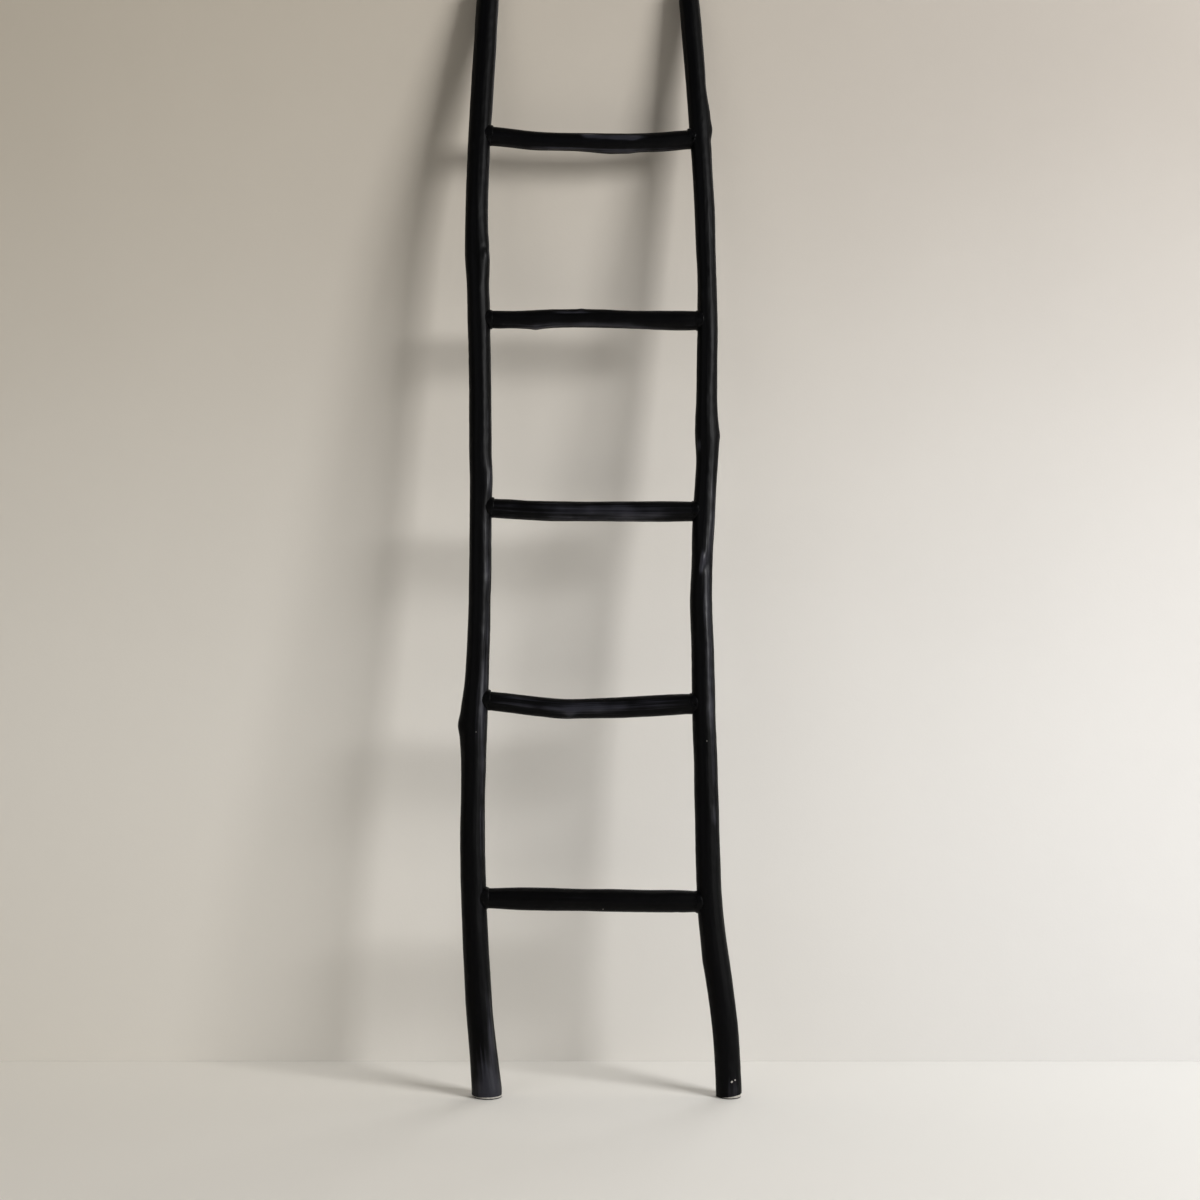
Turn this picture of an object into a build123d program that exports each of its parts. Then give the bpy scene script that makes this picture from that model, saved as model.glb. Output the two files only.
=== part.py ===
"""Leaning display ladder made of natural branches: two rails, five rungs, blind round tenons."""
import os
from collections import namedtuple
from math import cos, exp, radians, sin, tan

from build123d import *

# The whole ladder, in millimetres. It stands leaning, with the floor at Z = 0 and its front to -Y
ladder_length = 2000.0  # along the rails
lean_angle = 7.0  # degrees back from upright
rail_spacing = 400.0  # between the straight lines that the rails stray from

# The rails
rail_diameter = 48.0  # a rail's thickness where its girth share is 1
rail_sway = 35.0  # sideways stray where a sway share is 1
rail_bow = 24.0  # forward stray where a bow share is 1
knot_height = 7.0  # how far a knot stands out where its share is 1
top_bevel = 3.0  # worn edge of the sawn top

# The rungs
rung_diameter = 38.0  # a rung's thickness where its girth share is 1
rung_sag = 13.0  # stray from the straight line between the joints where a share is 1

# The joints
tenon_diameter = 22.0
tenon_reach = 6.0  # how far a tenon goes past the rail's middle
tenon_root = 12.0  # how far a tenon's core runs on inside the rung's body
mortise_floor_gap = 1.5  # left empty beyond the tenon's end for glue
glue_line = 0.15  # round a tenon
shoulder_gap = 0.3  # between a rung's coped end and the rail
filler_width = 4.5  # along the rung
filler_root = 11.0  # how far a filler ring comes down round the rail's curve
filler_spread = 6.5  # up and down the rail, at its root
filler_lip = 1.0  # thickness of a filler ring at its front, its back and its outer end
nail_diameter = 3.0
nail_share = 0.75  # how far a headless nail goes into its tenon, as a share of the tenon
nail_inset = 0.8  # how deep it is driven below the rail's back
nail_clearance = 0.1
overrun = 12.0  # how far a cut runs past the surface that it opens

# The feet
pad_thickness = 3.5  # under the level left foot
wedge_low_edge = 1.0  # the right foot's pad at its thin side
wedge_angle = 7.0  # degrees that the right foot's sawn end rises outwards
pad_inset = 2.5  # between the foot's edge and the pad's

# The shape of a branch's section
section_count = 12  # points round one section
rail_rings = 51  # sections along a rail, less one
rung_rings = 16  # sections along a rung, less one
cope_rings = 6  # sections along a stretch that only cuts, less one
cope_reach_share = 0.03  # how far such a stretch of rail runs each way from a joint
oval_share = 0.03  # how far a section is from round
knot_spread_share = 0.22  # how wide a knot is round the branch

# Rails: height, sway (+ to the right), forward bow, girth, knot, and the knot's turn in degrees
# (0 = right, 180 = left, 270 = front). Heights are shares of the ladder's length
floor_row = 1  # the row of each table that is nearest the floor
left_rail_shares = [
    (-0.020, 0.37, 0.00, 1.10, 0.0, 0),
    (0.006, 0.18, 0.00, 1.05, 0.0, 0),
    (0.028, 0.02, 0.00, 0.98, 0.0, 0),
    (0.075, -0.23, 0.04, 0.94, 0.0, 0),
    (0.125, -0.42, 0.10, 0.92, 0.0, 0),
    (0.170, -0.54, 0.18, 0.90, 0.0, 0),
    (0.220, -0.62, 0.28, 0.88, 0.0, 0),
    (0.275, -0.60, 0.36, 0.87, 0.0, 0),
    (0.300, -0.59, 0.41, 0.89, 0.2, 180),
    (0.321, -0.53, 0.46, 0.90, 1.0, 180),
    (0.341, -0.50, 0.50, 0.87, 0.5, 180),
    (0.361, -0.45, 0.54, 0.83, 0.2, 180),
    (0.400, -0.37, 0.62, 0.81, 0.0, 180),
    (0.450, -0.32, 0.70, 0.80, 0.0, 320),
    (0.515, -0.32, 0.80, 0.79, 0.1, 320),
    (0.540, -0.30, 0.84, 0.80, 0.4, 320),
    (0.560, -0.34, 0.87, 0.81, 0.1, 320),
    (0.620, -0.38, 0.94, 0.81, 0.0, 320),
    (0.685, -0.46, 1.00, 0.82, 0.0, 340),
    (0.722, -0.54, 1.00, 0.83, 0.1, 340),
    (0.743, -0.62, 1.00, 0.84, 0.7, 340),
    (0.762, -0.64, 0.98, 0.83, 0.3, 340),
    (0.800, -0.62, 0.92, 0.82, 0.0, 340),
    (0.857, -0.52, 0.74, 0.83, 0.0, 0),
    (0.900, -0.41, 0.54, 0.84, 0.0, 0),
    (0.940, -0.30, 0.32, 0.85, 0.0, 0),
    (1.000, -0.15, 0.00, 0.82, 0.0, 0),
]
right_rail_shares = [
    (-0.020, 0.74, 0.00, 0.89, 0.0, 0),
    (0.006, 0.70, 0.00, 0.89, 0.0, 0),
    (0.050, 0.58, 0.03, 0.91, 0.0, 0),
    (0.080, 0.40, 0.06, 0.93, 0.0, 0),
    (0.105, 0.20, 0.09, 0.94, 0.0, 0),
    (0.130, 0.01, 0.12, 0.93, 0.0, 0),
    (0.168, -0.20, 0.20, 0.89, 0.0, 0),
    (0.220, -0.28, 0.32, 0.87, 0.0, 0),
    (0.285, -0.36, 0.44, 0.85, 0.0, 0),
    (0.340, -0.44, 0.56, 0.83, 0.0, 270),
    (0.380, -0.47, 0.64, 0.82, 0.0, 270),
    (0.430, -0.55, 0.74, 0.79, 0.0, 270),
    (0.455, -0.50, 0.79, 0.77, 0.1, 270),
    (0.476, -0.46, 0.83, 0.77, 0.5, 270),
    (0.494, -0.42, 0.86, 0.80, 0.1, 270),
    (0.511, -0.37, 0.88, 0.80, 0.0, 0),
    (0.545, -0.25, 0.92, 0.78, 0.0, 0),
    (0.565, -0.19, 0.94, 0.80, 0.1, 0),
    (0.580, -0.20, 0.95, 0.86, 0.1, 0),
    (0.605, -0.21, 0.95, 0.79, 0.0, 0),
    (0.640, -0.17, 0.94, 0.75, 0.0, 0),
    (0.685, -0.13, 0.92, 0.74, 0.0, 0),
    (0.725, -0.15, 0.88, 0.70, 0.0, 0),
    (0.780, -0.23, 0.80, 0.74, 0.0, 0),
    (0.830, -0.34, 0.66, 0.75, 0.0, 0),
    (0.856, -0.43, 0.58, 0.78, 0.1, 0),
    (0.873, -0.49, 0.52, 0.77, 0.5, 0),
    (0.900, -0.60, 0.42, 0.75, 0.0, 0),
    (0.940, -0.75, 0.24, 0.77, 0.0, 0),
    (1.000, -1.00, 0.00, 0.75, 0.0, 0),
]

# Rungs, from the floor up: the heights of the left and right joints, as shares of the length
joint_height_shares = [
    (0.1700, 0.1665),
    (0.3430, 0.3395),
    (0.5145, 0.5105),
    (0.6855, 0.6845),
    (0.8585, 0.8560),
]
# Each rung from its left joint to its right one: place along it, rise, forward stray, girth,
# knot, and the knot's turn in degrees (0 = up, 90 = front)
rung_shares = [
    [
        (0.00, 0.00, 0.00, 0.88, 0.0, 0),
        (0.09, -0.02, 0.00, 0.91, 0.0, 0),
        (0.18, -0.03, 0.05, 1.00, 0.0, 0),
        (0.32, -0.03, 0.12, 1.01, 0.0, 0),
        (0.47, -0.05, 0.15, 0.98, 0.0, 0),
        (0.60, -0.04, 0.12, 1.01, 0.0, 0),
        (0.74, -0.04, 0.05, 0.99, 0.0, 0),
        (0.88, -0.01, 0.00, 0.98, 0.0, 0),
        (0.94, 0.00, 0.00, 0.92, 0.0, 0),
        (1.00, 0.00, 0.00, 0.88, 0.0, 0),
    ],
    [
        (0.00, 0.00, 0.00, 0.84, 0.0, 0),
        (0.08, -0.16, 0.00, 0.85, 0.0, 0),
        (0.18, -0.48, -0.05, 0.87, 0.0, 0),
        (0.29, -0.82, -0.15, 0.89, 0.0, 0),
        (0.39, -1.00, -0.25, 0.88, 0.1, 180),
        (0.50, -0.90, -0.20, 0.91, 0.0, 0),
        (0.64, -0.70, -0.10, 0.93, 0.0, 0),
        (0.78, -0.42, 0.00, 0.95, 0.0, 0),
        (0.92, -0.12, 0.00, 0.92, 0.0, 0),
        (1.00, 0.00, 0.00, 0.86, 0.0, 0),
    ],
    [
        (0.00, 0.00, 0.00, 0.84, 0.0, 0),
        (0.07, -0.09, 0.00, 0.87, 0.0, 0),
        (0.17, -0.25, 0.10, 0.87, 0.0, 0),
        (0.31, -0.39, 0.25, 0.90, 0.0, 0),
        (0.45, -0.36, 0.30, 0.90, 0.0, 0),
        (0.58, -0.28, 0.25, 0.90, 0.0, 0),
        (0.70, -0.20, 0.15, 0.91, 0.0, 0),
        (0.81, -0.12, 0.05, 0.95, 0.0, 0),
        (0.92, -0.04, 0.00, 0.91, 0.0, 0),
        (1.00, 0.00, 0.00, 0.84, 0.0, 0),
    ],
    [
        (0.00, 0.00, 0.00, 0.79, 0.0, 0),
        (0.07, 0.00, 0.00, 0.80, 0.0, 0),
        (0.17, 0.00, -0.05, 0.81, 0.0, 0),
        (0.24, 0.04, -0.10, 0.87, 0.1, 150),
        (0.34, 0.24, -0.15, 0.84, 0.0, 0),
        (0.45, 0.30, -0.15, 0.85, 0.0, 0),
        (0.56, 0.24, -0.10, 0.84, 0.0, 0),
        (0.66, 0.12, -0.05, 0.83, 0.0, 0),
        (0.77, 0.02, 0.00, 0.86, 0.0, 0),
        (0.91, 0.00, 0.00, 0.90, 0.0, 0),
        (1.00, 0.00, 0.00, 0.83, 0.0, 0),
    ],
    [
        (0.00, 0.00, 0.00, 0.86, 0.0, 0),
        (0.07, -0.12, 0.00, 0.89, 0.0, 0),
        (0.24, -0.68, 0.10, 0.86, 0.0, 0),
        (0.35, -0.81, 0.20, 0.83, 0.0, 0),
        (0.46, -0.88, 0.25, 0.84, 0.0, 200),
        (0.60, -0.92, 0.20, 0.90, 0.3, 200),
        (0.72, -0.78, 0.10, 0.89, 0.0, 200),
        (0.83, -0.55, 0.00, 0.89, 0.0, 0),
        (0.93, -0.21, 0.00, 0.88, 0.0, 0),
        (1.00, 0.00, 0.00, 0.83, 0.0, 0),
    ],
]

# The tables as rings of a branch: a ring strays from the branch's straight line two ways
Ring = namedtuple("Ring", "place stray front girth knot knot_turn")
rails = {
    "left": [Ring(*row) for row in left_rail_shares],
    "right": [Ring(*row) for row in right_rail_shares],
}
rail_signs = {"left": -1, "right": 1}
rungs = [[Ring(*row) for row in rows] for rows in rung_shares]
joints = [{"left": left, "right": right} for left, right in joint_height_shares]

# The ladder's own directions: up along its lean, and square to that towards the wall
ladder_up = Vector(0, sin(radians(lean_angle)), cos(radians(lean_angle)))
ladder_back = Vector(0, cos(radians(lean_angle)), -sin(radians(lean_angle)))
across = Vector(1, 0, 0)
foot_radius = rails["left"][floor_row].girth * rail_diameter / 2
top_radius = rails["left"][-1].girth * rail_diameter / 2
foot_line = Vector(0, (foot_radius - top_radius - ladder_length * ladder_up.Y) / 2, 0)


def blend_rings(row, place):
    """The ring at a place along a branch, on smooth curves through the rings round it."""
    last = len(row) - 1
    index = next((i for i in range(last) if place <= row[i + 1].place), last - 1)
    before, low = row[max(index - 1, 0)], row[index]
    high, after = row[index + 1], row[min(index + 2, last)]
    span = high.place - low.place
    t = (place - low.place) / span
    rise = (3 - 2 * t) * t * t
    blended = []
    for before_value, low_value, high_value, after_value in zip(before, low, high, after):
        leaving = (high_value - before_value) / (high.place - before.place) * span
        arriving = (after_value - low_value) / (after.place - low.place) * span
        value = low_value + rise * (high_value - low_value)
        blended.append(value + t * (1 - t) * ((1 - t) * leaving - t * arriving))
    return Ring(*blended)


def even_rings(row, count, low, high):
    """Evenly spaced rings of a branch, which a smooth surface goes through without waves."""
    return [blend_rings(row, low + (high - low) * i / count) for i in range(count + 1)]


def reach(ring, diameter, turn):
    """How far a branch's surface is from its middle, in one direction of its section."""
    radius = ring.girth * diameter / 2 * (1 + oval_share * cos(radians(2 * turn)))
    spread = exp((cos(radians(turn - ring.knot_turn)) - 1) / knot_spread_share)
    return radius + ring.knot * knot_height * spread


def outline(ring, diameter, growth):
    """The points round one section of a branch, grown by a clearance."""
    turns = [360 * i / section_count for i in range(section_count)]
    radii = [reach(ring, diameter, turn) + growth for turn in turns]
    return [(r * cos(radians(turn)), r * sin(radians(turn))) for r, turn in zip(radii, turns)]


def rail_middle(side, height_share):
    """The middle of a rail at a height."""
    ring = blend_rings(rails[side], height_share)
    sideways = rail_signs[side] * rail_spacing / 2 + ring.stray * rail_sway
    upwards = height_share * ladder_length
    forwards = ring.front * rail_bow
    return foot_line + across * sideways + ladder_up * upwards - ladder_back * forwards


def rail_blank(side, growth, count, low, high):
    """A stretch of a rail before it is sawn and drilled, grown all round by a clearance."""
    with BuildPart() as blank:
        for ring in even_rings(rails[side], count, low, high):
            middle = rail_middle(side, ring.place)
            with BuildSketch(Plane(origin=middle, x_dir=across, z_dir=ladder_up)):
                with BuildLine():
                    Spline(*outline(ring, rail_diameter, growth), periodic=True)
                make_face()
        loft()
    return blank.part


def rung_axis(number):
    """A rung's straight line: its two joints, and the plane across it at its left joint."""
    left_joint = rail_middle("left", joints[number]["left"])
    right_joint = rail_middle("right", joints[number]["right"])
    run = right_joint - left_joint
    return left_joint, right_joint, Plane(origin=left_joint, x_dir=ladder_up, z_dir=run)


def rung_blank(number, growth):
    """A rung's branch before its ends are cut, grown all round by a clearance."""
    left_joint, right_joint, square = rung_axis(number)
    run_length = (right_joint - left_joint).length
    with BuildPart() as blank:
        for ring in even_rings(rungs[number], rung_rings, 0, 1):
            place = square.offset(ring.place * run_length)
            rise = place.x_dir * (ring.stray * rung_sag)
            stray = place.y_dir * (ring.front * rung_sag)
            with BuildSketch(Plane(place.origin + rise + stray, place.x_dir, place.z_dir)):
                with BuildLine():
                    Spline(*outline(ring, rung_diameter, growth), periodic=True)
                make_face()
        loft()
    return blank.part


def joint_plane(number, side):
    """The plane across a tenon at the rail's middle, with its Z into the rung."""
    left_joint, right_joint, _ = rung_axis(number)
    if side == "left":
        return Plane(origin=left_joint, x_dir=ladder_up, z_dir=right_joint - left_joint)
    return Plane(origin=right_joint, x_dir=ladder_up, z_dir=left_joint - right_joint)


def rail_reach(number, side, turn):
    """How far the rail's surface is from its middle at a joint, in one direction."""
    return reach(blend_rings(rails[side], joints[number][side]), rail_diameter, turn)


def inner_reach(number, side):
    """How far the rail's inner side is from its middle at a joint."""
    return rail_reach(number, side, 0 if side == "left" else 180)


def round_bar(number, side, start, end, radius):
    """A round bar along a tenon's line, from one distance from the rail's middle to another."""
    with BuildPart() as bar:
        with BuildSketch(joint_plane(number, side).offset(start)):
            Circle(radius)
        extrude(amount=end - start)
    return bar.part


def cope_cutter(number, side):
    """The stretch of rail round a joint, grown by the gap that a rung's coped end leaves."""
    height_share = joints[number][side]
    low, high = height_share - cope_reach_share, height_share + cope_reach_share
    return rail_blank(side, shoulder_gap, cope_rings, low, high)


def mortise(number, side):
    bottom = -(tenon_reach + mortise_floor_gap)
    mouth = inner_reach(number, side) + overrun
    return round_bar(number, side, bottom, mouth, tenon_diameter / 2 + glue_line)


def tenon(number, side):
    root = inner_reach(number, side) + tenon_root
    return round_bar(number, side, -tenon_reach, root, tenon_diameter / 2)


def nail_shape(number, side, growth, rise):
    """A headless nail from the rail's back into the tenon, or the hole for it, open outside."""
    top = rail_reach(number, side, 90) - nail_inset + rise
    point = tenon_diameter * (nail_share - 1 / 2)
    place = joint_plane(number, side).origin + ladder_back * top
    with BuildPart() as shape:
        with BuildSketch(Plane(origin=place, x_dir=across, z_dir=-ladder_back)):
            Circle(nail_diameter / 2 + growth)
        extrude(amount=top + point + growth)
    return shape.part


def filler_ring(number, side):
    """The fillet of filler in the corner between a rung and its rail."""
    end_ring = rungs[number][0 if side == "left" else -1]
    end_radius = end_ring.girth * rung_diameter / 2
    surface = inner_reach(number, side)
    with BuildPart() as ring:
        with BuildSketch(joint_plane(number, side).offset(surface - filler_root)):
            Ellipse(end_radius + filler_spread, end_radius + filler_lip)
        with BuildSketch(joint_plane(number, side).offset(surface + filler_width)):
            Ellipse(end_radius + filler_lip, end_radius + filler_lip)
        loft()
    return ring.part


def foot_middle(side):
    """Where a rail's middle meets the floor."""
    low, high = rail_middle(side, 0), rail_middle(side, rails[side][floor_row].place)
    return low + (high - low) * (-low.Z / (high.Z - low.Z))


def foot_cut(side):
    """The plane of a foot's sawn end: level on the left, rising outwards on the right."""
    middle = foot_middle(side)
    if side == "left":
        return Plane(origin=(middle.X, middle.Y, pad_thickness), z_dir=(0, 0, 1))
    rise = wedge_low_edge + pad_radius(side) * tan(radians(wedge_angle))
    normal = (-sin(radians(wedge_angle)), 0, cos(radians(wedge_angle)))
    return Plane(origin=(middle.X, middle.Y, rise), x_dir=(0, 1, 0), z_dir=normal)


def pad_radius(side):
    return rails[side][floor_row].girth * rail_diameter / 2 - pad_inset


os.makedirs("parts", exist_ok=True)
pieces = []
sides = ["left", "right"]
rung_numbers = range(len(rungs))

# The rails: sawn at the floor, bevelled at the top, drilled for the tenons and nails
for side in sides:
    with BuildPart() as rail:
        add(rail_blank(side, 0, rail_rings, rails[side][0].place, rails[side][-1].place))
        split(bisect_by=foot_cut(side), keep=Keep.TOP)
        chamfer(rail.faces().sort_by(Axis.Z)[-1].edges(), top_bevel)
        add([mortise(number, side) for number in rung_numbers], mode=Mode.SUBTRACT)
        nail_holes = [nail_shape(number, side, nail_clearance, overrun) for number in rung_numbers]
        add(nail_holes, mode=Mode.SUBTRACT)
    rail.part.label = f"{side}_rail"
    pieces.append(rail.part)

# The rungs: coped to both rails, with a round tenon at each end, drilled for the nails
for number in rung_numbers:
    with BuildPart() as rung:
        add(rung_blank(number, 0))
        add([cope_cutter(number, side) for side in sides], mode=Mode.SUBTRACT)
        add([tenon(number, side) for side in sides])
        nail_holes = [nail_shape(number, side, nail_clearance, overrun) for side in sides]
        add(nail_holes, mode=Mode.SUBTRACT)
    rung.part.label = f"rung_{number + 1}"
    pieces.append(rung.part)

# The filler in the corners of the joints, and the nails that lock the tenons
for number in rung_numbers:
    rung_cutter = rung_blank(number, shoulder_gap)
    for side in sides:
        with BuildPart() as filler:
            add(filler_ring(number, side))
            add(rung_cutter, mode=Mode.SUBTRACT)
            add(cope_cutter(number, side), mode=Mode.SUBTRACT)
        filler.part.label = f"rung_{number + 1}_{side}_filler"
        pieces.append(filler.part)

        with BuildPart() as nail:
            add(nail_shape(number, side, 0, 0))
        nail.part.label = f"rung_{number + 1}_{side}_nail"
        pieces.append(nail.part)

# The pads under the feet: a flat one on the left and a wedge on the right
for side in sides:
    middle = foot_middle(side)
    with BuildPart() as pad:
        with BuildSketch():
            with Locations((middle.X, middle.Y)):
                Circle(pad_radius(side))
        extrude(amount=overrun)
        split(bisect_by=foot_cut(side), keep=Keep.BOTTOM)
    pad.part.label = f"{side}_foot_pad"
    pieces.append(pad.part)

for piece in pieces:
    export_step(piece, f"parts/{piece.label}.step")
    print(f"{piece.label}: {len(piece.solids())} solid(s), {piece.volume / 1000:.2f} cm3")
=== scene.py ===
import math

import bpy
import numpy as np
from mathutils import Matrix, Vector, noise
from mathutils.bvhtree import BVHTree


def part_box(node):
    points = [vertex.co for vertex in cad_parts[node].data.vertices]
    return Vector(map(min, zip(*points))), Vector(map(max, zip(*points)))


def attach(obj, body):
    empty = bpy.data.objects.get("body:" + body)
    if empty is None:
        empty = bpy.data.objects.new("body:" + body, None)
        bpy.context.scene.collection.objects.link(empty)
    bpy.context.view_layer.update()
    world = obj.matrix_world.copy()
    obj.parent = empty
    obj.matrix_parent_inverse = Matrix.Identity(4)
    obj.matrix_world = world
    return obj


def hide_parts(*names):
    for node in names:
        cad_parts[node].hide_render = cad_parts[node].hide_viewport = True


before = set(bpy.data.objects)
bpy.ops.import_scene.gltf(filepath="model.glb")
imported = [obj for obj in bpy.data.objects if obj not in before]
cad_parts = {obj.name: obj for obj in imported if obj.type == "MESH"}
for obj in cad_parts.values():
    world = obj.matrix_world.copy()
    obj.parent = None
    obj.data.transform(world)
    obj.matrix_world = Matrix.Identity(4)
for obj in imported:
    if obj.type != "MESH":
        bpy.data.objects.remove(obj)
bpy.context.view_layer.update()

print("the ladder's frame is loaded")

ladder = {
    "lean": math.radians(7),    # back from upright
    "rungs": 5,
    "length": 2.0,              # along the rails, in metres
    "spacing": 0.4,             # between the rails' straight lines
}
upAlong = Vector((0, math.sin(ladder["lean"]), math.cos(ladder["lean"])))
toWall = Vector((0, math.cos(ladder["lean"]), -math.sin(ladder["lean"])))
across = Vector((1, 0, 0))


# Shader maths written as sums

class Link:
    def __init__(self, finish, socket):
        self.finish = finish
        self.socket = socket

    def math(self, operation, first, second):
        return self.finish.node("ShaderNodeMath", {"operation": operation}, {0: first, 1: second})

    def __add__(self, other):
        return self.math("ADD", self, other)

    def __radd__(self, other):
        return self.math("ADD", other, self)

    def __sub__(self, other):
        return self.math("SUBTRACT", self, other)

    def __rsub__(self, other):
        return self.math("SUBTRACT", other, self)

    def __mul__(self, other):
        return self.math("MULTIPLY", self, other)

    def __rmul__(self, other):
        return self.math("MULTIPLY", other, self)

    def centred(self):                                  # a noise's middle, 0.5, becomes 0
        return self - 0.5

    def between(self, low, high):                       # 0 at low, 1 at high, eased
        return self.finish.node("ShaderNodeMapRange", {"interpolation_type": "SMOOTHSTEP"},
                                {"Value": self, "From Min": low, "From Max": high})


class Finish:
    def __init__(self, name):
        self.material = bpy.data.materials.new(name)
        self.material.use_nodes = True
        self.tree = self.material.node_tree
        self.shader = self.tree.nodes["Principled BSDF"]
        self.spot = self.node("ShaderNodeTexCoord", output=3)       # a point's place in metres

    def node(self, kind, settings=None, sockets=None, output=0):
        made = self.tree.nodes.new(kind)
        for name, value in (settings or {}).items():
            setattr(made, name, value)
        for name, value in (sockets or {}).items():
            self.plug(made.inputs[name], value)
        return Link(self, made.outputs[output])

    def plug(self, socket, value):
        if isinstance(value, Link):
            self.tree.links.new(value.socket, socket)
        else:
            socket.default_value = value

    def shade(self, sockets):
        for name, value in sockets.items():
            self.plug(self.shader.inputs[name], value)
        return self.material

    def mix(self, share, first, second):
        return self.node("ShaderNodeMix", {"data_type": "RGBA"},
                         {0: share, 6: first, 7: second}, output=2)

    def bump(self, height, strength=1.0):
        return self.node("ShaderNodeBump", {},
                         {"Height": height, "Distance": 1.0, "Strength": strength})

    def stretched(self, place, scale):                  # a place with its three lengths scaled
        return self.node("ShaderNodeVectorMath", {"operation": "MULTIPLY"}, {0: place, 1: scale})

    def noise(self, place, scale, detail=2.0, roughness=0.5):
        return self.node("ShaderNodeTexNoise", {}, {"Vector": place, "Scale": scale,
                                                    "Detail": detail, "Roughness": roughness})

    def distance(self, place, point):
        return self.node("ShaderNodeVectorMath", {"operation": "DISTANCE"},
                         {0: place, 1: point}, output=1)

    def length(self, place, axis):                      # a place's x, y or z: axis 0, 1 or 2
        return self.node("ShaderNodeSeparateXYZ", {}, {0: place}, output=axis)


# The lacquered wood of the rails and rungs

lacquer = {
    "sunk": (0.0003, 0.0003, 0.0004, 1),    # in the hollows between the grain's ridges
    "raised": (0.0012, 0.0012, 0.0017, 1),  # on the ridges
    "worn": (0.019, 0.019, 0.026, 1),       # where hands and cloth have rubbed it thin, and as painted highlight, sheen and floor reflection on lit faces
    "chipped": (0.42, 0.40, 0.37, 1),       # bare filler under a knocked-off flake
    "roughness": 0.47,
    "patchRoughness": 0.14,                 # its spread from patch to patch
    "ridgeRoughness": 0.12,                 # and from ridge to ridge
    "rubbedRoughness": 0.08,                # what rubbing takes off it
    "specular": 0.07,
    "coatRoughness": 0.33,
    "coat": 0.03,
    "rubbedCoat": 0.42,                     # the same rubbing has polished it
    "fineGrain": (430.0, 430.0, 9.0),       # ridges a metre: twice round the branch, and along it
    "broadGrain": (95.0, 95.0, 3.5),
    "fineShare": 0.45,                      # of each grain in the streaks
    "broadShare": 0.55,
    "streaks": (0.34, 0.66),                # from sunk to raised
    "rubsAndLight": (0.35, 0.95),                   # from untouched to fully worn and lit
    "ridgeRubAndLight": 0.35,                       # the least that the grain lets through of the rubbing and painted light
    "patchRubAndLight": 0.5,                        # and that a patch lets through
    "patchScale": 22.0,
    "skinScale": 900.0,
    "flakeScale": 420.0,
    "fineDepth": 0.00014,
    "broadDepth": 0.000224,
    "skinDepth": 0.00005,
    "bump": 0.8,
    "plugRadius": 0.0021,                   # filled nail holes at the rails' backs
    "plugFloor": 0.5,                       # the share of that radius that is flat
    "plugDepth": 0.0004,
    "chipCore": 0.80,                       # the share of a chip's radius that is fully bare
    "chips": [                              # place and radius in metres, and how bare it is
        ((0.2285, -0.1357, 0.0290), 0.0019, 1.0),
        ((0.2343, -0.1335, 0.0316), 0.0014, 1.0),
        ((0.1891, -0.0758, 0.6116), 0.0012, 0.5),
        ((-0.2155, -0.0737, 0.6273), 0.0010, 0.3),
        ((0.0069, -0.0970, 0.3210), 0.0015, 1.0),
    ],
}


def lacqueredWood(name, plugs, look=lacquer):
    finish = Finish(name)
    place = finish.node("ShaderNodeAttribute", {"attribute_name": "grain"}, output=1)
    rubbedAndLit = finish.node("ShaderNodeAttribute", {"attribute_name": "rubbedAndLit"}, output=2)
    fine = finish.noise(finish.stretched(place, look["fineGrain"]), 1.0, 3.0, 0.6)
    broad = finish.noise(finish.stretched(place, look["broadGrain"]), 1.0)
    patches = finish.noise(place, look["patchScale"])
    skin = finish.noise(finish.spot, look["skinScale"], 1.0)
    flake = finish.noise(finish.spot, look["flakeScale"], 2.0, 0.6)

    streak = (fine * look["fineShare"] + broad * look["broadShare"]).between(*look["streaks"])
    colour = finish.mix(streak, look["sunk"], look["raised"])
    # The lighter worn colour is real rubbing on ridges and marks, and painted highlight, sheen and
    # floor reflection on the lit faces
    wearAndLight = rubbedAndLit * (look["ridgeRubAndLight"] + fine) * (look["patchRubAndLight"] + patches)
    wearAndLight = wearAndLight.between(*look["rubsAndLight"])
    colour = finish.mix(wearAndLight, colour, look["worn"])
    for point, radius, bare in look["chips"]:
        gap = finish.distance(finish.spot, point) + flake.centred() * radius
        chip = (1.0 - gap.between(radius * look["chipCore"], radius)) * bare
        colour = finish.mix(chip, colour, look["chipped"])

    height = fine * look["fineDepth"] + broad * look["broadDepth"] + skin * look["skinDepth"]
    for point in plugs:
        gap = finish.distance(finish.spot, point)
        rise = gap.between(look["plugRadius"] * look["plugFloor"], look["plugRadius"])
        height = height + rise * look["plugDepth"]
    rough = look["roughness"] + patches.centred() * look["patchRoughness"]
    rough = rough + fine.centred() * look["ridgeRoughness"] - wearAndLight * look["rubbedRoughness"]
    return finish.shade({"Base Color": colour, "Roughness": rough,
                         "Normal": finish.bump(height, look["bump"]),
                         "Specular IOR Level": look["specular"],
                         "Coat Weight": look["coat"] + wearAndLight * look["rubbedCoat"],
                         "Coat Roughness": look["coatRoughness"]})


# The branches: a cylinder's rings are pulled on to the frame's own branch, then given their detail

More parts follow.
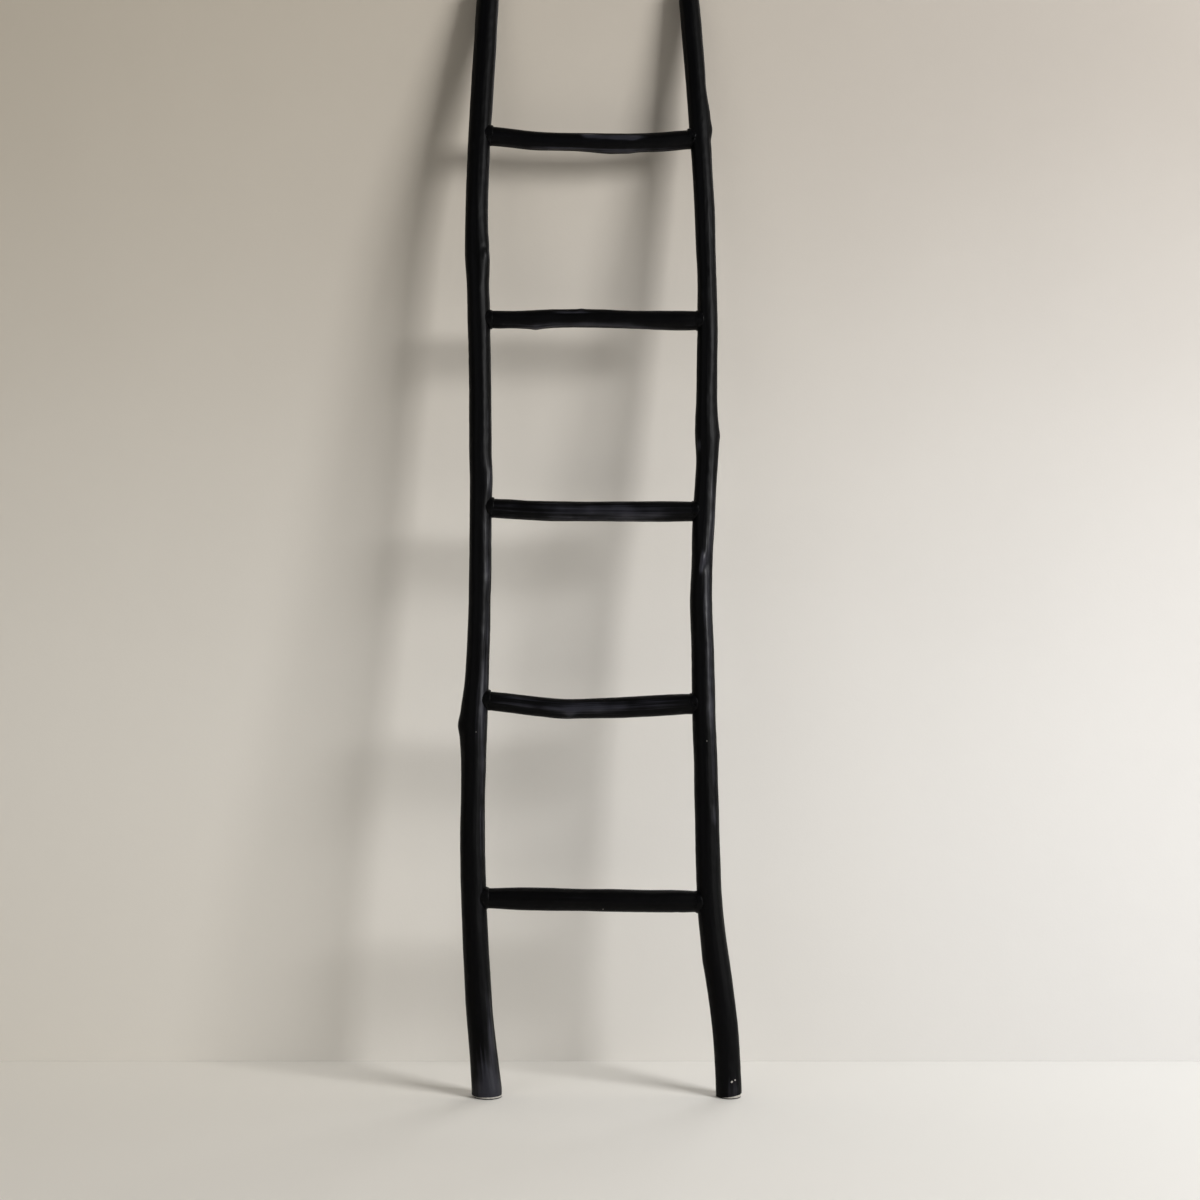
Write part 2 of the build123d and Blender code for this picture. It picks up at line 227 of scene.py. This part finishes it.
rail = {
    "around": 64,               # points round the branch
    "stages": (8, 94),          # cuts along it are made in two goes
    "reach": 0.07,              # farther from a branch's middle than its skin ever is
    "guess": 0.08,              # the stretch at its low end that gives the first middle
    "lump": 0.0008,             # soft swellings
    "ridge": 0.00028,           # long ridges left by the peeled bark
    "dimple": 0.00022,          # small knocks
    "below": 0.03,              # made this much too long below the floor, to be sawn off
    "extra": 0.05,              # and this much too long in all
    "footCut": 0.012,           # stretches at the ends where the frame's branch is cut
    "topCut": 0.006,
    "jointGap": 0.018,          # half the stretch at a joint where the frame is drilled
    "topRound": 0.0030,
    "footRound": 0.0008,
    "padEdge": 0.001,           # the right pad is a wedge, this thin at its inner edge
}
rung = {
    "around": 64,
    "stages": (3, 64),
    "reach": 0.05,
    "guess": 0.06,
    "lump": 0.0006,
    "ridge": 0.00028,
    "dimple": 0.00020,
    "tuck": 0.008,              # how far an end is hidden in its rail
    "firstSeed": 20.0,
    "seedStep": 5.0,
}
bark = {
    "lumps": (0.9, 14.0),       # noise a radius round the branch, and a metre along it
    "ridges": (4.2, 3.2),
    "dimples": (3.4, 75.0),
    "ridgeSharpness": 2.4,
    "rubbedRidge": 0.30,        # how much more the ridges and the swellings are rubbed
    "rubbedLump": 0.25,
}
fitting = {
    "tries": 4,                 # moves of a ring's middle towards the middle of four sides
    "rayShare": 1.2,            # of the reach: how far a ray is followed
    "missShare": 0.12,          # of the reach: a shorter radius is a miss
    "middleSpread": 3,          # neighbours that are averaged, along and around
    "alongSpread": 2,
    "aroundSpread": 1,
}
sawnEnd = {
    "rimRings": 5,
    "face": ((0.82, -0.0002), (0.66, 0.0001), (0.48, -0.0003), (0.30, 0.0), (0.12, -0.0004)),
}
creaseAngle = math.radians(50)  # sharper edges than this stay sharp
sameHeight = 1e-5
weldDistance = 1e-5

# Marks: metres along, turn in degrees, height, half length, half width in degrees, worn-and-lit
# share: real rubbing on the small marks, painted highlight, sheen and floor reflection on the
# broad marks of height 0
leftRailMarks = [
    (1.486, 320, 0.0010, 0.010, 22, 0.3),
    (1.501, 318, -0.0012, 0.006, 20, 0.0),
    (1.494, 0, -0.0012, 0.012, 22, 0.0),
    # painted highlight: the lit band down the rail's right front
    (0.740, 322, 0.0, 0.480, 34, 0.7),
    (1.470, 335, -0.0008, 0.014, 34, 0.0),
    (1.090, 325, 0.0009, 0.014, 18, 0.3),
    (1.066, 315, 0.0008, 0.014, 16, 0.3),
    (1.078, 345, -0.0006, 0.018, 20, 0.0),
    (0.642, 182, 0.0014, 0.014, 28, 0.2),
    (0.660, 200, -0.0010, 0.012, 30, 0.0),
    (0.622, 205, -0.0012, 0.010, 30, 0.0),
    (0.330, 300, -0.0010, 0.030, 30, 0.2),
    (0.120, 320, 0.0010, 0.050, 16, 0.5),
    (0.050, 350, 0.0012, 0.040, 20, 0.3),
    # painted reflection of the floor on the foot's front
    (0.010, 285, 0.0, 0.060, 60, 1.2),
    (1.700, 230, 0.0010, 0.012, 30, 0.1),
    (1.290, 60, 0.0018, 0.009, 26, 0.1),
]
rightRailMarks = [
    (1.730, 5, 0.0024, 0.013, 28, 0.2),
    (1.708, 350, -0.0010, 0.009, 26, 0.0),
    (1.160, 20, 0.0018, 0.012, 40, 0.2),
    (0.932, 272, 0.0022, 0.012, 13, 1.0),
    (0.918, 262, 0.0016, 0.010, 12, 0.8),
    (0.924, 295, -0.0018, 0.016, 22, 0.0),
    (1.138, 222, 0.0006, 0.014, 12, 0.8),
    (1.010, 330, 0.0010, 0.030, 18, 0.4),
    # painted highlight: the lit band down the rail's right front
    (0.800, 305, 0.0, 0.340, 30, 0.7),
    (0.700, 120, 0.0018, 0.010, 24, 0.1),
    (0.230, 200, 0.0012, 0.014, 28, 0.2),
    (0.060, 285, -0.0010, 0.012, 20, 0.3),
    # painted reflection of the floor on the foot's front
    (0.005, 290, 0.0, 0.030, 45, 0.5),
    (1.420, 240, 0.0010, 0.014, 26, 0.2),
    (0.480, 300, 0.0010, 0.020, 20, 0.4),
]
rungMarks = [
    [(0.145, 90, 0.0008, 0.030, 30, 0.3), (0.292, 40, -0.0008, 0.014, 30, 0.1)],
    [(0.148, 120, 0.0014, 0.010, 40, 0.4), (0.166, 60, -0.0010, 0.014, 40, 0.1),
     # painted sheen across the rung's front
     (0.170, 85, 0.0, 0.150, 50, 0.75)],
    [(0.040, 20, 0.0008, 0.014, 40, 0.2), (0.245, 130, 0.0008, 0.030, 34, 0.3),
     # painted sheen across the front, and painted floor reflection on the underside
     (0.180, 95, 0.0, 0.170, 55, 0.75), (0.180, 160, 0.0, 0.170, 22, 0.5)],
    [(0.085, 170, 0.0016, 0.008, 40, 0.3), (0.150, 58, -0.0010, 0.034, 18, 0.9),
     # the last: painted floor reflection on the underside
     (0.168, 20, 0.0010, 0.006, 20, 0.8), (0.180, 155, 0.0, 0.180, 24, 0.9)],
    # the first: a flattened scar, lighter from rubbed paint and from a painted highlight
    [(0.234, 64, -0.0016, 0.046, 24, 1.2), (0.234, 92, 0.0006, 0.050, 14, 0.0),
     (0.262, 76, 0.0008, 0.010, 16, 0.9), (0.180, 60, 0.0005, 0.012, 20, 0.7),
     # the last: painted floor reflection on the underside
     (0.256, 190, 0.0012, 0.010, 40, 0.4), (0.180, 160, 0.0, 0.180, 18, 0.9)],
]
sides = {
    "left": {"sign": -1, "marks": leftRailMarks, "seed": 3.0},
    "right": {"sign": 1, "marks": rightRailMarks, "seed": 11.0},
}


def deselect():
    if bpy.context.object and bpy.context.object.mode != "OBJECT":
        bpy.ops.object.mode_set(mode="OBJECT")
    bpy.ops.object.select_all(action="DESELECT")


def onlyPicked(piece):
    deselect()
    piece.select_set(True)
    bpy.context.view_layer.objects.active = piece


def smoothed(values, spread, wraps):
    # a soft average along the first axis, over a few neighbours
    steps = range(-2 * spread, 2 * spread + 1)
    weights = [math.exp(-(step / spread) ** 2) for step in steps]
    total = np.zeros_like(values)
    last = len(values) - 1
    for step, weight in zip(steps, weights):
        places = np.arange(last + 1) + step
        places = places % (last + 1) if wraps else np.clip(places, 0, last)
        total += values[places] * weight / sum(weights)
    return total


def measured(node, start, axis, first, second, length, count, look, blind):
    # the middle line and the radii of the frame's own branch, ring by ring
    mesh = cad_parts[node].data
    skin = BVHTree.FromPolygons([v.co for v in mesh.vertices], [p.vertices for p in mesh.polygons])
    around = look["around"]
    reach = look["reach"]
    turns = [math.tau * k / around for k in range(around)]
    ways = [first * math.cos(turn) + second * math.sin(turn) for turn in turns]

    def depth(along, middle, k):
        origin = start + axis * along + first * middle.x + second * middle.y + ways[k] * reach
        _, _, _, travelled = skin.ray_cast(origin, -ways[k], reach * fitting["rayShare"])
        return None if travelled is None else reach - travelled

    middles = np.full((count + 1, 2), np.nan)
    radii = np.full((count + 1, around), np.nan)
    near = [v.co - start for v in mesh.vertices if 0 < (v.co - start).dot(axis) < look["guess"]]
    middle = Vector((sum(v.dot(first) for v in near), sum(v.dot(second) for v in near)))
    middle = middle / len(near)
    for row in range(count + 1):
        along = length * row / count
        if any(low < along < high for low, high in blind):
            continue
        for _ in range(fitting["tries"]):
            quarters = (0, around // 4, around // 2, 3 * around // 4)
            depths = [depth(along, middle, k) for k in quarters]
            if None not in depths:
                middle = middle + Vector((depths[0] - depths[2], depths[1] - depths[3])) / 2
        for k in range(around):
            radius = depth(along, middle, k)
            missed = radius is None or radius < reach * fitting["missShare"]
            radii[row, k] = np.nan if missed else radius
        middles[row] = middle
    rows = np.arange(count + 1)
    for table in (middles, radii):
        for column in range(table.shape[1]):
            known = ~np.isnan(table[:, column])
            table[:, column] = np.interp(rows, rows[known], table[known, column])
    middles = smoothed(middles, fitting["middleSpread"], False)
    radii = smoothed(radii, fitting["alongSpread"], False)
    return middles, smoothed(radii.T, fitting["aroundSpread"], True).T


def detailed(radii, length, look, marks, seed):
    # soft swellings, bark ridges, knocks and the branch's own marks, all in metres
    count, around = radii.shape
    turns = np.linspace(0, 360, around, endpoint=False)
    rubbedAndLit = np.zeros_like(radii)
    lumpRound, lumpAlong = bark["lumps"]
    ridgeRound, ridgeAlong = bark["ridges"]
    dimpleRound, dimpleAlong = bark["dimples"]
    for row in range(count):
        along = length * row / (count - 1)
        for k in range(around):
            turn = math.radians(turns[k])
            x, y = math.cos(turn), math.sin(turn)
            lump = noise.noise((x * lumpRound + seed, y * lumpRound, along * lumpAlong))
            ridge = noise.noise((x * ridgeRound, y * ridgeRound + seed, along * ridgeAlong))
            ridge = 1 - abs(ridge) * bark["ridgeSharpness"]
            dimple = noise.noise((x * dimpleRound, y * dimpleRound - seed, along * dimpleAlong))
            radii[row, k] += lump * look["lump"] + ridge * look["ridge"] + dimple * look["dimple"]
            rubbedAndLit[row, k] = max(0.0, ridge) * bark["rubbedRidge"]
            rubbedAndLit[row, k] += max(0.0, lump) * bark["rubbedLump"]
    places = np.linspace(0, length, count)
    for along, turn, height, halfLength, halfWidth, share in marks:
        apart = (turns - turn + 180) % 360 - 180
        bell = np.exp(-((places[:, None] - along) / halfLength) ** 2
                      - (apart[None, :] / halfWidth) ** 2)
        radii += bell * height
        rubbedAndLit += bell * share
    return rubbedAndLit


def branch(name, node, start, axis, first, second, length, look, marks, blind, seed):
    # a cylinder as tall as 1 metre, cut along, whose rings then follow the branch
    cuts = [stage + 1 for stage in look["stages"]]
    count = cuts[0] * cuts[1]
    around = look["around"]
    deselect()
    bpy.ops.mesh.primitive_cylinder_add(vertices=around, radius=1, depth=1,
                                        end_fill_type="NOTHING", location=(0, 0, 0.5))
    piece = bpy.context.object
    piece.name = name
    bpy.ops.object.transform_apply(location=True, rotation=True, scale=True)
    for stage in look["stages"]:
        bpy.ops.object.mode_set(mode="EDIT")
        bpy.ops.mesh.select_mode(type="EDGE")
        bpy.ops.mesh.select_all(action="DESELECT")
        bpy.ops.object.mode_set(mode="OBJECT")
        corners = piece.data.vertices
        for edge in piece.data.edges:
            low, high = (corners[corner].co.z for corner in edge.vertices)
            edge.select = abs(high - low) > sameHeight
        bpy.ops.object.mode_set(mode="EDIT")
        bpy.ops.mesh.subdivide(number_cuts=stage)
    bpy.ops.object.mode_set(mode="OBJECT")

    middles, radii = measured(node, start, axis, first, second, length, count, look, blind)
    thickness = float(radii.mean())
    rubbedAndLit = detailed(radii, length, look, marks, seed)
    grain = []
    rubsAndLight = []
    for corner in piece.data.vertices:
        turn = math.atan2(corner.co.y, corner.co.x)
        k = round(turn / math.tau * around) % around
        row = round(corner.co.z * count)
        radius = radii[row, k]
        along = length * row / count
        sideways = middles[row, 0] + radius * math.cos(turn)
        onwards = middles[row, 1] + radius * math.sin(turn)
        corner.co = start + axis * along + first * sideways + second * onwards
        grain += [thickness * math.cos(turn), thickness * math.sin(turn), along + seed]
        rubsAndLight.append(rubbedAndLit[row, k])
    attribute = piece.data.attributes.new("grain", "FLOAT_VECTOR", "POINT")
    attribute.data.foreach_set("vector", grain)
    # per point, the share of that lighter colour: real rubbing, and painted light on the broad
    # marks
    attribute = piece.data.attributes.new("rubbedAndLit", "FLOAT", "POINT")
    attribute.data.foreach_set("value", rubsAndLight)
    return piece


def sawn(piece, point, normal, rounding):
    # an end sawn off square to normal: its rim is worn round and its face keeps faint rings
    normal = Vector(normal).normalized()
    point = Vector(point) - normal * rounding
    onlyPicked(piece)
    bpy.ops.object.mode_set(mode="EDIT")
    bpy.ops.mesh.select_mode(type="EDGE")
    bpy.ops.mesh.select_all(action="SELECT")
    bpy.ops.mesh.bisect(plane_co=point, plane_no=normal, clear_outer=True)
    bpy.ops.object.mode_set(mode="OBJECT")
    rim = [corner.co.copy() for corner in piece.data.vertices if corner.select]
    middle = sum(rim, Vector()) / len(rim)
    radius = sum((corner - middle).length for corner in rim) / len(rim)
    bpy.ops.object.mode_set(mode="EDIT")
    rings = []
    for step in range(sawnEnd["rimRings"]):
        turn = math.radians(90 * (step + 1) / sawnEnd["rimRings"])
        rings.append((radius - rounding * (1 - math.cos(turn)), rounding * math.sin(turn)))
    inside = radius - rounding
    rings += [(inside * share, rounding + rise) for share, rise in sawnEnd["face"]]
    reached = radius
    lifted = 0.0
    for ringRadius, lift in rings:
        share = ringRadius / reached
        step = normal * (lift - lifted)
        bpy.ops.mesh.extrude_region_move()
        bpy.ops.transform.resize(value=(share, share, share), center_override=middle)
        bpy.ops.transform.translate(value=step)
        middle = middle + step
        reached = ringRadius
        lifted = lift
    bpy.ops.mesh.merge(type="CENTER")
    bpy.ops.object.mode_set(mode="OBJECT")


def finished(piece, material, slot, *nodes):
    onlyPicked(piece)
    bpy.ops.object.shade_smooth_by_angle(angle=creaseAngle)
    piece.data.materials.clear()
    piece.data.materials.append(material)
    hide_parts(*nodes)
    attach(piece, "root")


def middleOf(node):
    low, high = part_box(node)
    return (low + high) / 2


def nailEnd(node):
    # the outer end of a nail, at the rail's back
    low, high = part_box(node)
    return middleOf(node) + toWall * (high.y - low.y) / 2


railWood = lacqueredWood("blackRailWood", [nailEnd(f"rung_{n + 1}_{side}_nail")
                                           for n in range(ladder["rungs"]) for side in sides])
rungWood = lacqueredWood("blackRungWood", [])
footLine = Vector((0, -(ladder["length"] * upAlong.y) / 2, 0))

for side, bough in sides.items():
    foot = footLine + across * (bough["sign"] * ladder["spacing"] / 2)
    joints = [(middleOf(f"rung_{n + 1}_{side}_nail") - foot).dot(upAlong)
              for n in range(ladder["rungs"])]
    blind = [(joint - rail["jointGap"], joint + rail["jointGap"]) for joint in joints]
    blind += [(-math.inf, rail["footCut"]), (ladder["length"] - rail["topCut"], math.inf)]
    blind = [(low + rail["below"], high + rail["below"]) for low, high in blind]
    marks = [(mark[0] + rail["below"], *mark[1:]) for mark in bough["marks"]]
    piece = branch(f"{side}Rail", f"{side}_rail", foot - upAlong * rail["below"], upAlong, across,
                   toWall, ladder["length"] + rail["extra"], rail, marks, blind, bough["seed"])
    sawn(piece, foot + upAlong * ladder["length"], upAlong, rail["topRound"])
    padLow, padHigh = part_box(f"{side}_foot_pad")
    if side == "left":
        sawn(piece, (0, 0, padHigh.z), (0, 0, -1), rail["footRound"])
    else:
        tilt = math.atan2(padHigh.z - rail["padEdge"], padHigh.x - padLow.x)
        rim = Vector((padHigh.x, 0, padHigh.z))
        sawn(piece, rim, (math.sin(tilt), 0, -math.cos(tilt)), rail["footRound"])
    finished(piece, railWood, "black_lacquered_wood", f"{side}_rail")
    print(f"{side} rail: {len(piece.data.polygons)} faces")

for number in range(ladder["rungs"]):
    name = f"rung_{number + 1}"
    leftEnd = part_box(f"{name}_left_filler")[1].x
    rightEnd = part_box(f"{name}_right_filler")[0].x
    height = middleOf(name)
    start = Vector((leftEnd - rung["tuck"], height.y, height.z))
    length = rightEnd - leftEnd + 2 * rung["tuck"]
    blind = [(-math.inf, rung["tuck"]), (length - rung["tuck"], math.inf)]
    piece = branch(f"rung{number + 1}", name, start, across, upAlong, -toWall, length, rung,
                   rungMarks[number], blind, rung["firstSeed"] + rung["seedStep"] * number)
    finished(piece, rungWood, "black_lacquered_wood", name)
    print(f"rung {number + 1}: {len(piece.data.polygons)} faces")


# The filler in the joints' corners

filler = {
    "voxel": 0.0007,
    "smoothing": 8,
    "swell": 0.00045,           # closes the hairline between filler and wood
    "lump": 0.0009,
    "lumpMiddle": 0.4,          # the texture's value that moves nothing
    "lumpSize": 0.010,
    "roughness": 0.42,
    "roughnessSpread": 0.2,
    "brushScale": 160.0,        # brush marks and pits a metre
    "pitScale": 700.0,
    "streaks": (0.3, 0.7),
    "brushDepth": 0.0003,
    "pitDepth": 0.0001,
    "bump": 0.7,
}


def roughened(node, ending, look):
    # a lumpy copy of one soft part of the frame
    copy = bpy.data.objects.new(node.replace("_", "") + ending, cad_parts[node].data.copy())
    bpy.context.scene.collection.objects.link(copy)
    onlyPicked(copy)
    bpy.ops.object.mode_set(mode="EDIT")
    bpy.ops.mesh.select_all(action="SELECT")
    bpy.ops.mesh.remove_doubles(threshold=weldDistance)
    if "spread" in look:
        bpy.ops.transform.resize(value=(look["spread"], look["spread"], 1.0),
                                 center_override=middleOf(node))
    bpy.ops.object.mode_set(mode="OBJECT")
    remesh = copy.modifiers.new("remesh", "REMESH")
    remesh.mode = "VOXEL"
    remesh.voxel_size = look["voxel"]
    soften = copy.modifiers.new("soften", "SMOOTH")
    soften.iterations = look["smoothing"]
    if "swell" in look:
        swell = copy.modifiers.new("swell", "DISPLACE")
        swell.mid_level = 0.0
        swell.strength = look["swell"]
    lumps = bpy.data.textures.new("lumps", "CLOUDS")
    lumps.noise_scale = look["lumpSize"]
    uneven = copy.modifiers.new("uneven", "DISPLACE")
    uneven.texture = lumps
    uneven.mid_level = look["lumpMiddle"]
    uneven.strength = look["lump"]
    for modifier in [modifier.name for modifier in copy.modifiers]:
        bpy.ops.object.modifier_apply(modifier=modifier)
    return copy


def lacqueredFiller(name, paint=lacquer, look=filler):
    finish = Finish(name)
    brushed = finish.noise(finish.spot, look["brushScale"], 3.0, 0.6)
    pits = finish.noise(finish.spot, look["pitScale"])
    colour = finish.mix(brushed.between(*look["streaks"]), paint["sunk"], paint["raised"])
    height = brushed * look["brushDepth"] + pits * look["pitDepth"]
    rough = look["roughness"] + brushed.centred() * look["roughnessSpread"]
    return finish.shade({"Base Color": colour, "Roughness": rough,
                         "Normal": finish.bump(height, look["bump"]),
                         "Specular IOR Level": paint["specular"],
                         "Coat Weight": paint["coat"],
                         "Coat Roughness": paint["coatRoughness"]})


blackFiller = lacqueredFiller("blackLacqueredFiller")
for number in range(ladder["rungs"]):
    for side in sides:
        node = f"rung_{number + 1}_{side}_filler"
        finished(roughened(node, "Bead", filler), blackFiller, "black_lacquered_filler", node)
print("the filler is laid in the corners")


# The nails at the back, painted over with the rest

nails = {
    "paint": (0.008, 0.008, 0.009, 1),
    "steel": (0.16, 0.15, 0.14, 1),
    "roughness": 0.38,
    "roughnessSpread": 0.2,
    "scuffScale": 1400.0,
    "scuffs": (0.60, 0.72),     # from paint to bare steel
    "scuffDepth": 0.0001,
}


def paintedNail(name, look=nails):
    finish = Finish(name)
    scuffs = finish.noise(finish.spot, look["scuffScale"], 3.0, 0.7)
    bare = scuffs.between(*look["scuffs"])
    return finish.shade({"Base Color": finish.mix(bare, look["paint"], look["steel"]),
                         "Metallic": bare, "Normal": finish.bump(scuffs * look["scuffDepth"]),
                         "Roughness": look["roughness"] + scuffs * look["roughnessSpread"]})


nailFinish = paintedNail("paintedNail")
for number in range(ladder["rungs"]):
    for side in sides:
        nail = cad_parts[f"rung_{number + 1}_{side}_nail"]
        nail.data.materials.clear()
        nail.data.materials.append(nailFinish)
print("the nails are painted")


# The felt under the feet

felt = {
    "pale": (0.56, 0.53, 0.48, 1),
    "dark": (0.36, 0.34, 0.30, 1),
    "contactShade": (0.012, 0.011, 0.010, 1),     # painted contact shade: its lower edge painted near black where it meets the floor
    "contactShadeEdge": (0.0013, 0.0019),         # the heights where that fades
    "spread": 1.08,             # pressed out to the foot's rim
    "voxel": 0.0006,
    "smoothing": 1,
    "lump": 0.0005,
    "lumpMiddle": 0.4,
    "lumpSize": 0.0022,
    "roughness": 0.9,
    "roughnessSpread": 0.1,
    "specular": 0.15,
    "sheen": 0.4,
    "fibreScale": 1800.0,
    "fibreShare": 0.6,          # of fibres and clumps in the colour
    "fibreDepth": 0.0006,
    "clumpScale": 260.0,
    "clumpShare": 0.4,
    "streaks": (0.3, 0.7),
}


def feltFinish(name, look=felt):
    finish = Finish(name)
    fibres = finish.noise(finish.spot, look["fibreScale"], 4.0, 0.7)
    clumps = finish.noise(finish.spot, look["clumpScale"])
    tufts = (fibres * look["fibreShare"] + clumps * look["clumpShare"]).between(*look["streaks"])
    colour = finish.mix(tufts, look["dark"], look["pale"])
    # painted contact shade along the felt's lowest 1.9 mm
    aboveContactShade = finish.length(finish.spot, 2).between(*look["contactShadeEdge"])
    colour = finish.mix(aboveContactShade, look["contactShade"], colour)
    rough = look["roughness"] + clumps.centred() * look["roughnessSpread"]
    return finish.shade({"Base Color": colour, "Roughness": rough,
                         "Normal": finish.bump(fibres * look["fibreDepth"]),
                         "Specular IOR Level": look["specular"], "Sheen Weight": look["sheen"]})


paleFelt = feltFinish("paleFelt")
for side in sides:
    node = f"{side}_foot_pad"
    finished(roughened(node, "Felt", felt), paleFelt, "pale_felt", node)
print("the felt is under the feet")


# The room: a pale floor and a plaster wall that shows from its front only; the wall's colour is
# painted light and shade, darker up high and on the right

room = {
    "size": 9.0,
    "floorPlace": -0.0004,      # just clear of the felt
    "wallPlace": 0.147,
    "wallLowPaintedLight": ((0.84, 0.80, 0.73, 1), (0.75, 0.735, 0.715, 1)),    # left and right, at the floor: painted light, paler low down and on the left
    "wallHighPaintedShade": ((0.58, 0.52, 0.43, 1), (0.47, 0.43, 0.385, 1)),    # and 2 m up: painted shade, darker up high and on the right
    "floor": ((0.80, 0.765, 0.70, 1), (0.775, 0.765, 0.74, 1)),
    "sideways": (-1.3, 1.3),    # where the left and the right colours are reached
    "upwards": (0.3, 2.1),      # where the low and the high ones are
    "cloudScale": 1.4,          # broad unevenness of those fades
    "sidewaysCloud": 0.5,
    "upwardsCloud": 0.3,
    "roughness": 0.9,
    "specular": 0.1,
    "weaveScale": 240.0,
    "weaveDepth": 0.0004,
    "bump": 0.3,
    "world": (0.80, 0.79, 0.76, 1),
    "worldStrength": 0.15,
    "seenStrength": 0.82,       # added where the camera looks past the floor and the wall
}


def plaster(name, low, high, look=room):
    finish = Finish(name)
    weave = finish.noise(finish.spot, look["weaveScale"], 3.0, 0.6)
    cloud = finish.noise(finish.spot, look["cloudScale"]).centred()
    rightwards = finish.length(finish.spot, 0) + cloud * look["sidewaysCloud"]
    rightwards = rightwards.between(*look["sideways"])
    upwards = finish.length(finish.spot, 2) + cloud * look["upwardsCloud"]
    upwards = upwards.between(*look["upwards"])
    # on the wall these fades are painted light and shade; the floor's two colours differ in hue
    # only
    colour = finish.mix(upwards, finish.mix(rightwards, *low), finish.mix(rightwards, *high))
    finish.shade({"Base Color": colour, "Roughness": look["roughness"],
                  "Normal": finish.bump(weave * look["weaveDepth"], look["bump"]),
                  "Specular IOR Level": look["specular"]})
    return finish


def oneSided(finish):
    behind = finish.node("ShaderNodeNewGeometry", output=6)
    clear = finish.node("ShaderNodeBsdfTransparent")
    solid = Link(finish, finish.shader.outputs[0])
    shown = finish.node("ShaderNodeMixShader", {}, {0: behind, 1: solid, 2: clear})
    finish.plug(finish.tree.nodes["Material Output"].inputs["Surface"], shown)
    return finish.material


deselect()
bpy.ops.mesh.primitive_plane_add(size=room["size"], location=(0, 0, room["floorPlace"]))
floor = bpy.context.object
floor.name = "floor"
floor.data.materials.append(plaster("paleFloor", room["floor"], room["floor"]).material)
deselect()
bpy.ops.mesh.primitive_plane_add(size=room["size"], rotation=(math.radians(90), 0, 0),
                                 location=(0, room["wallPlace"], room["size"] / 2))
wall = bpy.context.object
wall.name = "wall"
bpy.ops.object.transform_apply(location=True, rotation=True, scale=True)
wall.data.materials.append(oneSided(plaster("plasterWallPaintedShade", room["wallLowPaintedLight"], room["wallHighPaintedShade"])))
wall.visible_shadow = False

lamps = {
    "key": {"place": (3.5, -2.6, 2.6), "aim": (0.0, 0.1, 0.75), "size": 1.7, "power": 200.0},
    "fill": {"place": (-2.5, -3.2, 2.2), "aim": (0.0, 0.0, 0.9), "size": 2.6, "power": 16.0},
    "rear": {"place": (2.0, 4.0, 3.2), "aim": (0.0, 0.0, 1.0), "size": 2.2, "power": 52.0},
}
for name, lamp in lamps.items():
    light = bpy.data.lights.new(name, "AREA")
    light.shape = "SQUARE"
    light.size = lamp["size"]
    light.energy = lamp["power"]
    holder = bpy.data.objects.new(name, light)
    bpy.context.scene.collection.objects.link(holder)
    holder.location = lamp["place"]
    towards = Vector(lamp["aim"]) - Vector(lamp["place"])
    holder.rotation_euler = towards.to_track_quat("-Z", "Y").to_euler()

world = bpy.data.worlds.new("paleRoom")
world.use_nodes = True
bpy.context.scene.world = world
background = world.node_tree.nodes["Background"]
background.inputs["Color"].default_value = room["world"]
seen = world.node_tree.nodes.new("ShaderNodeLightPath")
strength = world.node_tree.nodes.new("ShaderNodeMath")
strength.operation = "MULTIPLY_ADD"
strength.inputs[1].default_value = room["seenStrength"]
strength.inputs[2].default_value = room["worldStrength"]
world.node_tree.links.new(seen.outputs["Is Camera Ray"], strength.inputs[0])
world.node_tree.links.new(strength.outputs[0], background.inputs["Strength"])

# The camera is level and a little below the ladder's middle height
photo = {
    "place": (0.0017, -3.599, 0.8585),
    "lens": 60.36,              # millimetres, on a sensor of the width below
    "sensor": 36.0,
}
lens = bpy.data.cameras.new("camera")
lens.lens = photo["lens"]
lens.sensor_width = photo["sensor"]
camera = bpy.data.objects.new("camera", lens)
bpy.context.scene.collection.objects.link(camera)
camera.location = photo["place"]
camera.rotation_euler = (math.radians(90), 0, 0)
bpy.context.scene.camera = camera
bpy.context.scene.view_settings.view_transform = "Standard"
print("the room, the lamps and the camera are set")
